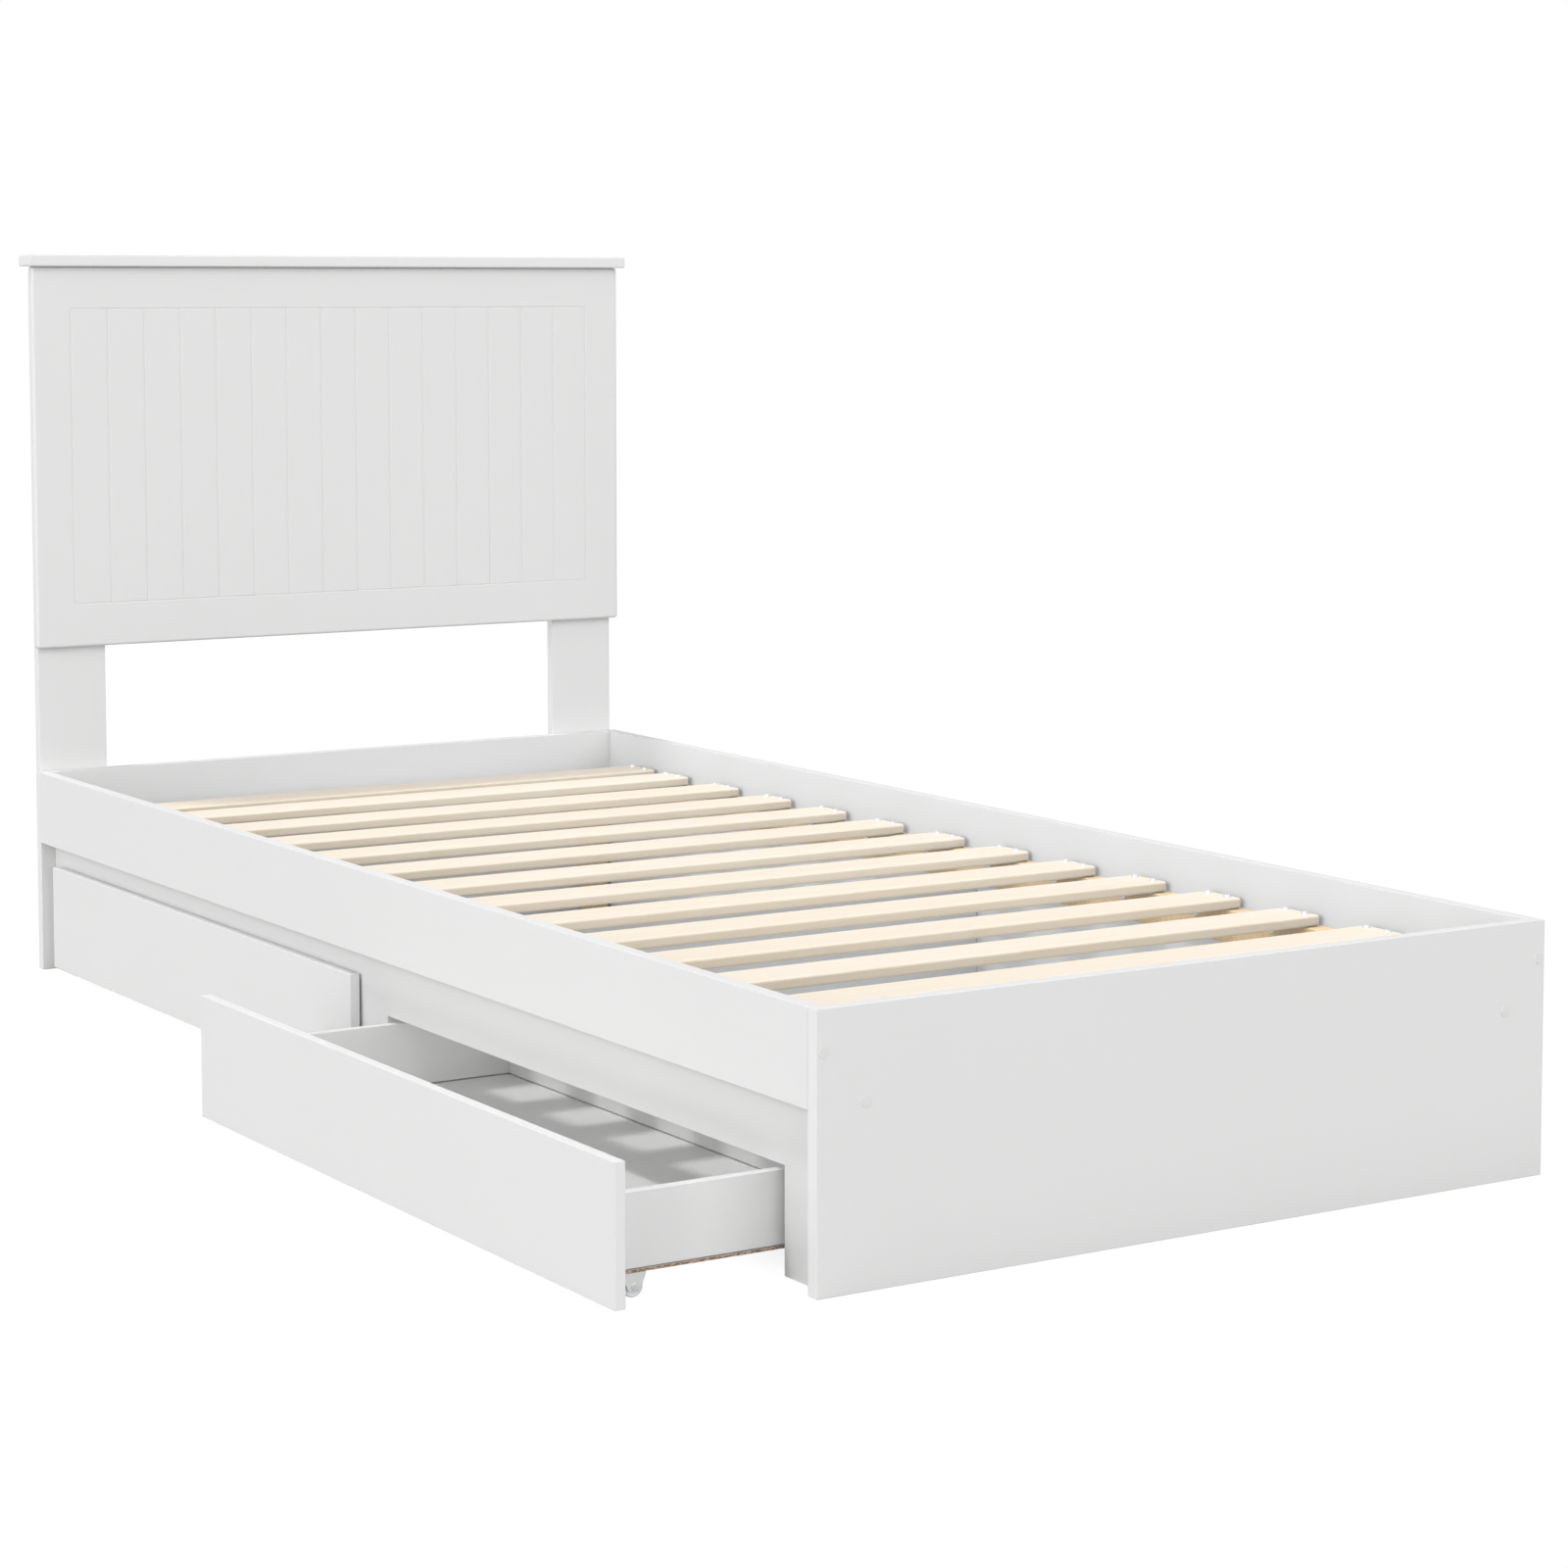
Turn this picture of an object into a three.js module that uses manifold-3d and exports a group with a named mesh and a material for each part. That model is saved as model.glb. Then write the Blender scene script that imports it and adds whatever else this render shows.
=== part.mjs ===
// A single bed frame for a 900 x 2000 mattress: a low box of white boards, a grooved headboard with a cap,
// fourteen pine slats on two battens, and two under-bed drawers that roll out on castors on one long side.
// Units are millimetres. +Z is up, +Y points to the head end, and the drawers open towards -X.
// The origin is on the floor at the centre of the box.

import * as THREE from "three";
import { mergeVertices } from "three/addons/utils/BufferGeometryUtils.js";
import Module from "manifold-3d";

// ---- driving dimensions ----

const MATTRESS_WIDTH = 900;
const MATTRESS_LENGTH = 2000;
const WIDTH_PLAY = 5;
const LENGTH_PLAY = 10;

const BOARD = 16; // thickness of the frame's boards
const SEAM = 0.3; // gap left between pieces that meet face to face

const BOX_HEIGHT = 281;
const RAIL_HEIGHT = 100;

const SLAT_COUNT = 14;
const SLAT_WIDTH = 65;
const SLAT_THICKNESS = 13;
const END_SLAT_INSET = 118.5; // from an end board's inner face to the middle of the end slat
const END_SLAT_PITCH = 100; // from the end slat to the first of the evenly spaced ones
const SLAT_EDGE_RADIUS = 3.5;
const SLAT_DEPTH = 43; // from the top of the rails down to the top of the slats
const SLAT_END_GAP = 7.5;

const BATTEN_WIDTH = 25;
const BATTEN_HEIGHT = 40;

const PANEL_INSET = 4.5; // from the rail's inner face to the outer face of the base panel below it
const END_STILE = 74; // base panel left between an end board and a drawer opening
const MID_STILE = 114; // base panel left between the two openings
const POST_WIDTH = 30;
const POST_DEPTH = 40;

const DRAWER_BOARD = 12;
const DRAWER_BOTTOM = 3;
const DRAWER_SIDE_GAP = 9; // between a drawer's side and the edge of its opening
const DRAWER_TOP_GAP = 6;
const DRAWER_DEPTH = 365; // from the back of the front board to the rear of the box
const FRONT_SIDE_COVER = 45.5; // how far a drawer front reaches past each side of its opening
const FRONT_TOP_COVER = 40; // and above it
const FRONT_LIFT = 8; // floor clearance of the drawer front
const FINGER_GAP = 31; // from the top of a drawer front up to the rail
const FRONT_CLEARANCE = 3; // between a closed drawer front and the base panel
const FOOT_DRAWER_OPEN = 201; // how far the drawer at the foot end stands open

const WHEEL_RADIUS = 11;
const WHEEL_WIDTH = 10;
const WHEEL_CORNER = 1.5;
const AXLE_RADIUS = 2.5;
const RUNNING_GAP = 0.4;
const WHEEL_TOP_GAP = 1.1; // from the wheel up to the fork's plate
const FORK_MARGIN = 2; // how far the fork reaches past the wheel at each end
const FORK_WALL = 1.6;
const FORK_PLATE = 1.6;
const FORK_CORNER = 4;
const CASTOR_FRONT_INSET = 41; // wheel centre behind the back of the front board
const CASTOR_REAR_INSET = 34; // wheel centre before the rear of the box
const CASTOR_SIDE_INSET = 8; // wheel centre inside the side of the box

const PANEL_HEIGHT = 536;
const PANEL_RISE = 175; // from the top of the box up to the headboard panel
const PANEL_CORNER = 5;
const PANEL_EDGE_RADIUS = 3;
const GROOVE_MARGIN_SIDE = 56;
const GROOVE_MARGIN_TOP = 59;
const GROOVE_MARGIN_BOTTOM = 61;
const GROOVE_COUNT = 16; // upright grooves, the two at the border included
const GROOVE_WIDTH = 3;
const GROOVE_DEPTH = 1.6;

const LEG_WIDTH = 100;
const LEG_INSET = 6.5; // from the side of the box to the leg
const LEG_DROP = 22; // from the top of the panel down to the top of the legs behind it

const CAP_THICKNESS = 16;
const CAP_SIDE_OVERHANG = 7;
const CAP_FRONT_OVERHANG = 14;
const CAP_CORNER = 3;
const CAP_EDGE_RADIUS = 2;

// ---- worked out from the driving dimensions ----

const INNER_HALF_WIDTH = (MATTRESS_WIDTH + WIDTH_PLAY) / 2;
const INNER_HALF_LENGTH = (MATTRESS_LENGTH + LENGTH_PLAY) / 2;
const OUTER_HALF_WIDTH = INNER_HALF_WIDTH + BOARD;
const OUTER_HALF_LENGTH = INNER_HALF_LENGTH + BOARD;

const RAIL_BOTTOM = BOX_HEIGHT - RAIL_HEIGHT;
const SLAT_TOP = BOX_HEIGHT - SLAT_DEPTH;
const SLAT_BOTTOM = SLAT_TOP - SLAT_THICKNESS;
const BATTEN_OUTER = INNER_HALF_WIDTH - SEAM;
const BATTEN_INNER = BATTEN_OUTER - BATTEN_WIDTH;
const BATTEN_TOP = SLAT_BOTTOM - SEAM;
const BATTEN_BOTTOM = BATTEN_TOP - BATTEN_HEIGHT;
const BASE_TOP = BATTEN_BOTTOM - SEAM;

const BASE_OUTER = INNER_HALF_WIDTH - PANEL_INSET; // outer faces of the two base panels, from the middle
const BASE_INNER = BASE_OUTER - BOARD;
const SHORT_HALF_LENGTH = INNER_HALF_LENGTH - SEAM; // half length of what stands between the end boards

const OPENING_WIDTH = INNER_HALF_LENGTH - END_STILE - MID_STILE / 2;
const OPENING_CENTRE = (MID_STILE + OPENING_WIDTH) / 2; // each opening's middle, from the middle of the bed
const FRONT_TOP = RAIL_BOTTOM - FINGER_GAP;
const FRONT_WIDTH = OPENING_WIDTH + 2 * FRONT_SIDE_COVER;
const OPENING_HEIGHT = FRONT_TOP - FRONT_TOP_COVER;

const DRAWER_HALF_WIDTH = OPENING_WIDTH / 2 - DRAWER_SIDE_GAP;
const FORK_TOP = 2 * WHEEL_RADIUS + WHEEL_TOP_GAP + FORK_PLATE;
const DRAWER_UNDERSIDE = FORK_TOP + SEAM; // height of the drawer's bottom panel above the floor
const DRAWER_FLOOR = DRAWER_UNDERSIDE + DRAWER_BOTTOM + SEAM;
const DRAWER_TOP = OPENING_HEIGHT - DRAWER_TOP_GAP;
const FORK_LENGTH = 2 * (WHEEL_RADIUS + FORK_MARGIN);
const FRONT_BACK_X = -BASE_OUTER - FRONT_CLEARANCE; // back face of a closed drawer's front

const PANEL_BOTTOM = BOX_HEIGHT + PANEL_RISE;
const PANEL_TOP = PANEL_BOTTOM + PANEL_HEIGHT;
const LEG_FRONT = OUTER_HALF_LENGTH + SEAM;
const LEG_TOP = PANEL_TOP - LEG_DROP;

// ---- materials ----

const WHITE = { color: 0xeeeeec, roughness: 0.45, metalness: 0 };
const PINE = { color: 0xe9d6ae, roughness: 0.6, metalness: 0 };
const HARDBOARD = { color: 0x8a6242, roughness: 0.75, metalness: 0 };
const PLASTIC = { color: 0xecedef, roughness: 0.4, metalness: 0 };
const NYLON = { color: 0xdfe2e6, roughness: 0.4, metalness: 0 };

// ---- helpers ----

const wasm = await Module();
wasm.setup();

const bed = new THREE.Group();

function add(name, geometry, finish, parent = bed) {
  const mesh = new THREE.Mesh(geometry, new THREE.MeshStandardMaterial(finish));
  mesh.name = name;
  parent.add(mesh);
  return mesh;
}

// A board between two corners, given as [low, high] for each axis.
function board(name, x, y, z, finish, parent = bed) {
  const geometry = new THREE.BoxGeometry(x[1] - x[0], y[1] - y[0], z[1] - z[0]);
  geometry.translate((x[0] + x[1]) / 2, (y[0] + y[1]) / 2, (z[0] + z[1]) / 2);
  return add(name, geometry, finish, parent);
}

function toSolid(geometry) {
  const bare = geometry.clone();
  bare.deleteAttribute("normal");
  bare.deleteAttribute("uv");
  const merged = mergeVertices(bare, 1e-4);
  return new wasm.Manifold(
    new wasm.Mesh({
      numProp: 3,
      vertProperties: new Float32Array(merged.attributes.position.array),
      triVerts: new Uint32Array(merged.index.array),
    }),
  );
}

function toGeometry(solid) {
  const mesh = solid.getMesh();
  const geometry = new THREE.BufferGeometry();
  geometry.setAttribute("position", new THREE.BufferAttribute(mesh.vertProperties, 3));
  geometry.setIndex(new THREE.BufferAttribute(mesh.triVerts, 1));
  geometry.computeVertexNormals();
  return geometry;
}

function roundedRect(width, height, radius) {
  const [w, h] = [width / 2, height / 2];
  const shape = new THREE.Shape();
  shape.moveTo(-w + radius, -h);
  shape.lineTo(w - radius, -h);
  shape.absarc(w - radius, -h + radius, radius, -Math.PI / 2, 0);
  shape.lineTo(w, h - radius);
  shape.absarc(w - radius, h - radius, radius, 0, Math.PI / 2);
  shape.lineTo(-w + radius, h);
  shape.absarc(-w + radius, h - radius, radius, Math.PI / 2, Math.PI);
  shape.lineTo(-w, -h + radius);
  shape.absarc(-w + radius, -h + radius, radius, Math.PI, 1.5 * Math.PI);
  return shape;
}

// A plate in the XY plane with round corners and rounded faces, centred on the origin.
function softPlate(width, height, thickness, corner, edge) {
  const shape = roundedRect(width - 2 * edge, height - 2 * edge, Math.max(corner - edge, 0.5));
  const geometry = new THREE.ExtrudeGeometry(shape, {
    depth: thickness - 2 * edge,
    curveSegments: 3,
    bevelThickness: edge,
    bevelSize: edge,
    bevelSegments: 2,
  });
  geometry.translate(0, 0, -thickness / 2 + edge);
  return geometry;
}

// ---- the box: foot end, head end and side rails ----

function addBox() {
  const width = [-OUTER_HALF_WIDTH, OUTER_HALF_WIDTH];
  board("footboard", width, [-OUTER_HALF_LENGTH, -INNER_HALF_LENGTH], [0, BOX_HEIGHT], WHITE);
  board("head_end_board", width, [INNER_HALF_LENGTH, OUTER_HALF_LENGTH], [0, BOX_HEIGHT], WHITE);
  const length = [-SHORT_HALF_LENGTH, SHORT_HALF_LENGTH];
  const height = [RAIL_BOTTOM, BOX_HEIGHT];
  board("side_rail_left", [-OUTER_HALF_WIDTH, -INNER_HALF_WIDTH], length, height, WHITE);
  board("side_rail_right", [INNER_HALF_WIDTH, OUTER_HALF_WIDTH], length, height, WHITE);
}

// ---- the base: a panel with two drawer openings, a closed panel, a divider and four posts ----

// The drawer side's panel, drawn in the YZ plane with a notch in its lower edge for each drawer.
function openBasePanel() {
  const shape = new THREE.Shape();
  shape.moveTo(-SHORT_HALF_LENGTH, 0);
  for (const centre of [-OPENING_CENTRE, OPENING_CENTRE]) {
    shape.lineTo(centre - OPENING_WIDTH / 2, 0);
    shape.lineTo(centre - OPENING_WIDTH / 2, OPENING_HEIGHT);
    shape.lineTo(centre + OPENING_WIDTH / 2, OPENING_HEIGHT);
    shape.lineTo(centre + OPENING_WIDTH / 2, 0);
  }
  shape.lineTo(SHORT_HALF_LENGTH, 0);
  shape.lineTo(SHORT_HALF_LENGTH, BASE_TOP);
  shape.lineTo(-SHORT_HALF_LENGTH, BASE_TOP);
  const geometry = new THREE.ExtrudeGeometry(shape, { depth: BOARD, bevelEnabled: false });
  // the shape's X, Y and Z become the bed's Y, Z and X
  geometry.applyMatrix4(new THREE.Matrix4().set(0, 0, 1, -BASE_OUTER, 1, 0, 0, 0, 0, 1, 0, 0, 0, 0, 0, 1));
  return geometry;
}

function addBase() {
  add("base_panel_left", openBasePanel(), WHITE);
  const length = [-SHORT_HALF_LENGTH, SHORT_HALF_LENGTH];
  board("base_panel_right", [BASE_INNER, BASE_OUTER], length, [0, BASE_TOP], WHITE);
  const between = [-BASE_INNER + SEAM, BASE_INNER - SEAM];
  board("bay_divider", between, [-BOARD / 2, BOARD / 2], [0, BASE_TOP], WHITE);

  const postX = BATTEN_INNER - SEAM - POST_WIDTH / 2;
  const postY = SHORT_HALF_LENGTH - POST_DEPTH / 2;
  const height = SLAT_BOTTOM - SEAM;
  for (const [end, y] of [["foot", -postY], ["head", postY]]) {
    for (const [side, x] of [["left", -postX], ["right", postX]]) {
      const post = new THREE.BoxGeometry(POST_WIDTH, POST_DEPTH, height);
      add(`corner_post_${end}_${side}`, post, PINE).position.set(x, y, height / 2);
    }
  }
}

// ---- the slatted base ----

function slatCentres() {
  const end = INNER_HALF_LENGTH - END_SLAT_INSET;
  const reach = end - END_SLAT_PITCH; // from the middle to the last of the evenly spaced slats
  const pitch = (2 * reach) / (SLAT_COUNT - 3);
  const centres = Array.from({ length: SLAT_COUNT - 2 }, (_, i) => i * pitch - reach);
  return [-end, ...centres, end];
}

function addSlats() {
  const length = [-SHORT_HALF_LENGTH, SHORT_HALF_LENGTH];
  const height = [BATTEN_BOTTOM, BATTEN_TOP];
  board("slat_batten_left", [-BATTEN_OUTER, -BATTEN_INNER], length, height, PINE);
  board("slat_batten_right", [BATTEN_INNER, BATTEN_OUTER], length, height, PINE);

  const slatLength = 2 * (INNER_HALF_WIDTH - SLAT_END_GAP);
  const section = roundedRect(SLAT_WIDTH, SLAT_THICKNESS, SLAT_EDGE_RADIUS);
  const slat = new THREE.ExtrudeGeometry(section, {
    depth: slatLength,
    curveSegments: 3,
    bevelEnabled: false,
  });
  slat.translate(0, 0, -slatLength / 2);
  // the section's X, Y and Z become the bed's Y, Z and X
  slat.applyMatrix4(new THREE.Matrix4().set(0, 0, 1, 0, 1, 0, 0, 0, 0, 1, 0, 0, 0, 0, 0, 1));
  slatCentres().forEach((y, i) => {
    const name = `slat_${String(i + 1).padStart(2, "0")}`;
    add(name, slat, PINE).position.set(0, y, SLAT_BOTTOM + SLAT_THICKNESS / 2);
  });
}

// ---- the headboard ----

// A V-shaped bar that cuts one groove into a face that looks towards -Y, run from one end to the other.
function grooveCutter(length) {
  const vee = new THREE.Shape();
  vee.moveTo(-GROOVE_WIDTH, -GROOVE_DEPTH);
  vee.lineTo(GROOVE_WIDTH, -GROOVE_DEPTH);
  vee.lineTo(0, GROOVE_DEPTH);
  const bar = new THREE.ExtrudeGeometry(vee, { depth: length, bevelEnabled: false });
  return bar.translate(0, 0, -length / 2);
}

function groovedPanel() {
  const width = 2 * OUTER_HALF_WIDTH;
  const plate = softPlate(width, PANEL_HEIGHT, BOARD, PANEL_CORNER, PANEL_EDGE_RADIUS);
  plate.rotateX(Math.PI / 2);
  const fieldWidth = width - 2 * GROOVE_MARGIN_SIDE;
  const low = -PANEL_HEIGHT / 2 + GROOVE_MARGIN_BOTTOM;
  const high = PANEL_HEIGHT / 2 - GROOVE_MARGIN_TOP;
  const face = -BOARD / 2;

  let cutters = null;
  const join = (cutter) => {
    const solid = toSolid(cutter);
    cutters = cutters ? cutters.add(solid) : solid;
  };
  for (let i = 0; i < GROOVE_COUNT; i++) {
    const x = -fieldWidth / 2 + (i * fieldWidth) / (GROOVE_COUNT - 1);
    join(grooveCutter(high - low).translate(x, face, (high + low) / 2));
  }
  for (const z of [low, high]) {
    join(grooveCutter(fieldWidth).rotateY(Math.PI / 2).translate(0, face, z));
  }
  return toGeometry(toSolid(plate).subtract(cutters));
}

function addHeadboard() {
  const panel = add("headboard_panel", groovedPanel(), WHITE);
  panel.position.set(0, OUTER_HALF_LENGTH - BOARD / 2, (PANEL_BOTTOM + PANEL_TOP) / 2);

  const capWidth = 2 * (OUTER_HALF_WIDTH + CAP_SIDE_OVERHANG);
  const capFront = INNER_HALF_LENGTH - CAP_FRONT_OVERHANG;
  const capRear = LEG_FRONT + BOARD;
  const capDepth = capRear - capFront;
  const capPlate = softPlate(capWidth, capDepth, CAP_THICKNESS, CAP_CORNER, CAP_EDGE_RADIUS);
  const cap = add("headboard_cap", capPlate, WHITE);
  cap.position.set(0, (capFront + capRear) / 2, PANEL_TOP + SEAM + CAP_THICKNESS / 2);

  const depth = [LEG_FRONT, LEG_FRONT + BOARD];
  const outer = OUTER_HALF_WIDTH - LEG_INSET;
  board("headboard_leg_left", [-outer, -outer + LEG_WIDTH], depth, [0, LEG_TOP], WHITE);
  board("headboard_leg_right", [outer - LEG_WIDTH, outer], depth, [0, LEG_TOP], WHITE);
}

// ---- castors ----

// A fixed fork: a plate with two cheeks, each with a hole for the wheel's axle. It hangs from Z = 0.
function forkGeometry() {
  const drop = FORK_TOP - WHEEL_RADIUS; // from the plate's top down to the axle
  const half = FORK_LENGTH / 2;
  const cheek = new THREE.Shape();
  cheek.moveTo(-half, 0);
  cheek.lineTo(-half, -FORK_PLATE);
  cheek.lineTo(-FORK_CORNER - AXLE_RADIUS, -drop - FORK_CORNER);
  cheek.lineTo(FORK_CORNER + AXLE_RADIUS, -drop - FORK_CORNER);
  cheek.lineTo(half, -FORK_PLATE);
  cheek.lineTo(half, 0);
  const hole = new THREE.Path();
  hole.absarc(0, -drop, AXLE_RADIUS + RUNNING_GAP, 0, 2 * Math.PI, true);
  cheek.holes.push(hole);

  const gap = WHEEL_WIDTH / 2 + RUNNING_GAP; // from the middle plane to a cheek
  const plate = new THREE.BoxGeometry(FORK_LENGTH, 2 * (gap + FORK_WALL), FORK_PLATE);
  let solid = toSolid(plate.translate(0, 0, -FORK_PLATE / 2));
  for (const side of [-gap, gap + FORK_WALL]) {
    const wall = new THREE.ExtrudeGeometry(cheek, {
      depth: FORK_WALL,
      curveSegments: 6,
      bevelEnabled: false,
    });
    wall.rotateX(Math.PI / 2).translate(0, side, 0);
    solid = solid.add(toSolid(wall));
  }
  return toGeometry(solid);
}

// A nylon wheel with its stub axles in one piece, turning about Y.
function wheelGeometry() {
  const half = WHEEL_WIDTH / 2;
  const stub = half + RUNNING_GAP + FORK_WALL;
  const profile = [
    [0, -stub],
    [AXLE_RADIUS, -stub],
    [AXLE_RADIUS, -half],
    [WHEEL_RADIUS - WHEEL_CORNER, -half],
    [WHEEL_RADIUS, -half + WHEEL_CORNER],
    [WHEEL_RADIUS, half - WHEEL_CORNER],
    [WHEEL_RADIUS - WHEEL_CORNER, half],
    [AXLE_RADIUS, half],
    [AXLE_RADIUS, stub],
    [0, stub],
  ];
  return new THREE.LatheGeometry(profile.map(([r, y]) => new THREE.Vector2(r, y)), 24);
}

// ---- drawers ----

function addCastors(name, drawer) {
  const fork = forkGeometry();
  const wheel = wheelGeometry();
  const xs = {
    front: FRONT_BACK_X + CASTOR_FRONT_INSET,
    rear: FRONT_BACK_X + DRAWER_DEPTH - CASTOR_REAR_INSET,
  };
  const reach = DRAWER_HALF_WIDTH - CASTOR_SIDE_INSET;
  for (const [row, x] of Object.entries(xs)) {
    for (const [side, y] of [["a", -reach], ["b", reach]]) {
      add(`${name}_castor_fork_${row}_${side}`, fork, PLASTIC, drawer).position.set(x, y, FORK_TOP);
      add(`${name}_castor_wheel_${row}_${side}`, wheel, NYLON, drawer).position.set(x, y, WHEEL_RADIUS);
    }
  }
}

function addDrawer(name, centreY, open) {
  const drawer = new THREE.Group();
  drawer.position.set(-open, centreY, 0);
  bed.add(drawer);

  const frontX = [FRONT_BACK_X - DRAWER_BOARD, FRONT_BACK_X];
  const frontZ = [FRONT_LIFT, FRONT_TOP];
  board(`${name}_front`, frontX, [-FRONT_WIDTH / 2, FRONT_WIDTH / 2], frontZ, WHITE, drawer);

  const rear = FRONT_BACK_X + DRAWER_DEPTH;
  const boxX = [FRONT_BACK_X + SEAM, rear];
  const wallZ = [DRAWER_FLOOR, DRAWER_TOP];
  const inside = DRAWER_HALF_WIDTH - DRAWER_BOARD;
  board(`${name}_side_foot`, boxX, [-DRAWER_HALF_WIDTH, -inside], wallZ, WHITE, drawer);
  board(`${name}_side_head`, boxX, [inside, DRAWER_HALF_WIDTH], wallZ, WHITE, drawer);
  const between = [-inside + SEAM, inside - SEAM];
  board(`${name}_back`, [rear - DRAWER_BOARD, rear], between, wallZ, WHITE, drawer);
  const bottomY = [-DRAWER_HALF_WIDTH, DRAWER_HALF_WIDTH];
  const bottomZ = [DRAWER_UNDERSIDE, DRAWER_UNDERSIDE + DRAWER_BOTTOM];
  board(`${name}_bottom`, boxX, bottomY, bottomZ, HARDBOARD, drawer);
  addCastors(name, drawer);
}

addBox();
addBase();
addSlats();
addHeadboard();
addDrawer("foot_drawer", -OPENING_CENTRE, FOOT_DRAWER_OPEN);
addDrawer("head_drawer", OPENING_CENTRE, 0);

export default bed;
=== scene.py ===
"""A single bed frame of white boards, with a slatted pine base, a grooved headboard and two drawers.

The frame gives every board's place and size. This script gives each board eased edges and banding, replaces
the slats, battens, wheels and headboard panel with finer surfaces, and adds screws, cover caps and brads.
All lengths are in metres. X runs across the bed, Y from the foot end to the head end, and Z up.
"""

import logging
import math
from dataclasses import dataclass, field
from enum import Enum, IntEnum
from typing import Optional, Sequence

import bpy
import numpy as np
from bpy.types import Material, Node, NodeSocket, NodeTree, Object
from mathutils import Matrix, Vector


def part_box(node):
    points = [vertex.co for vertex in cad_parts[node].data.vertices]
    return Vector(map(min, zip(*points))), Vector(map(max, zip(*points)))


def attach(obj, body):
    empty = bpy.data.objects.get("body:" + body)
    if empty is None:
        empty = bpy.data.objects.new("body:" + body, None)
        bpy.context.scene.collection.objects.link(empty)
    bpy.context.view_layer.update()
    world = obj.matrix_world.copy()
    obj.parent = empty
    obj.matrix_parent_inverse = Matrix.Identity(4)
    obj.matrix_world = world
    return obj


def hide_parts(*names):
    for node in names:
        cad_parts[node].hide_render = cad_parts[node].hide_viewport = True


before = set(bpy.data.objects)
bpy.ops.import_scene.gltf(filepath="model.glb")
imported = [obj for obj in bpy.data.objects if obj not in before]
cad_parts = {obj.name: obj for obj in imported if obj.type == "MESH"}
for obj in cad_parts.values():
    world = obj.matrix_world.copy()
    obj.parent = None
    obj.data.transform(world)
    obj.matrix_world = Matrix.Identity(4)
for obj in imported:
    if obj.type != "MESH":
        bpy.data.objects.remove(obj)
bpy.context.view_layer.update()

log = logging.getLogger("bed")

Colour = tuple[float, float, float]
Faces = list[tuple[int, ...]]


class Axis(IntEnum):
    """The three directions of the bed's frame."""

    X = 0
    Y = 1
    Z = 2


class Slot(Enum):
    """The record's material slots."""

    BOARD = "white_board"
    PINE = "bare_pine"
    HARDBOARD = "hardboard"
    ZINC = "zinc_steel"
    NYLON = "grey_nylon"
    PLASTIC = "white_plastic"


# ------------------------------------------------
# Surfaces
# ------------------------------------------------


@dataclass
class Surface:
    """Points and faces of one closed shell, with a rim value for each point.

    rim is 1 on what an outline sweeps out and 0 on the two faces that close it, so it tells a board's
    edges from its faces, and a slat's length from its sawn ends.
    """

    points: np.ndarray
    faces: Faces
    rim: np.ndarray


def outward(surface: Surface) -> Surface:
    """Turns a shell whose faces point inwards the right way round.

    The test is the signed volume: a sixth of the sum, over each face's fan of triangles, of the triple
    product of its corners.

    Args:
        surface: A closed shell.

    Returns:
        The same shell, with its faces pointing out.
    """
    volume = 0.0
    for face in surface.faces:
        corners = surface.points[list(face)]
        firsts = corners[[0] * (len(face) - 2)]
        volume += float(np.einsum("ij,ij->", np.cross(corners[1:-1], corners[2:]), firsts))
    if volume < 0:
        surface.faces = [face[::-1] for face in surface.faces]
    return surface


def loft(rings: np.ndarray, rim: np.ndarray) -> Surface:
    """Joins a stack of closed rings into a shell, and closes both ends with one flat face each.

    Args:
        rings: Points as (ring, point on the ring, xyz).
        rim: The rim value of each ring.

    Returns:
        The closed shell.
    """
    count, around, _ = rings.shape
    index = np.arange(count * around).reshape(count, around)
    ahead = np.roll(index, -1, axis=1)
    quads = np.stack([index[:-1], ahead[:-1], ahead[1:], index[1:]], axis=-1).reshape(-1, 4)
    faces: Faces = [tuple(quad) for quad in quads.tolist()]
    faces.append(tuple(index[0, ::-1].tolist()))
    faces.append(tuple(index[-1].tolist()))
    return outward(Surface(rings.reshape(-1, 3), faces, np.repeat(rim, around)))


def turned_to(local: np.ndarray, axis: Axis) -> np.ndarray:
    """Turns points given as (u, v, along) so that along lies on the axis, by cycling the coordinates."""
    return np.roll(local, int(axis) + 1, axis=-1)


def rounded_rectangle(low: Sequence[float], high: Sequence[float], radius: float, steps: int) -> np.ndarray:
    """Outline of a rectangle with round corners, counterclockwise.

    Each corner is a quarter circle about its centre: centre + radius * (cos a, sin a).

    Args:
        low: Lowest corner, as (u, v).
        high: Highest corner, as (u, v).
        radius: Corner radius.
        steps: Segments in each quarter.

    Returns:
        Points as (point, uv).
    """
    turn = np.linspace(0, math.pi / 2, steps + 1)
    angle = (turn[None, :] + math.pi / 2 * np.arange(4)[:, None]).ravel()
    right = np.repeat([1, 0, 0, 1], steps + 1)
    top = np.repeat([1, 1, 0, 0], steps + 1)
    centre_u = np.where(right, high[0] - radius, low[0] + radius)
    centre_v = np.where(top, high[1] - radius, low[1] + radius)
    return np.stack([centre_u + radius * np.cos(angle), centre_v + radius * np.sin(angle)], axis=-1)


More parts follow.
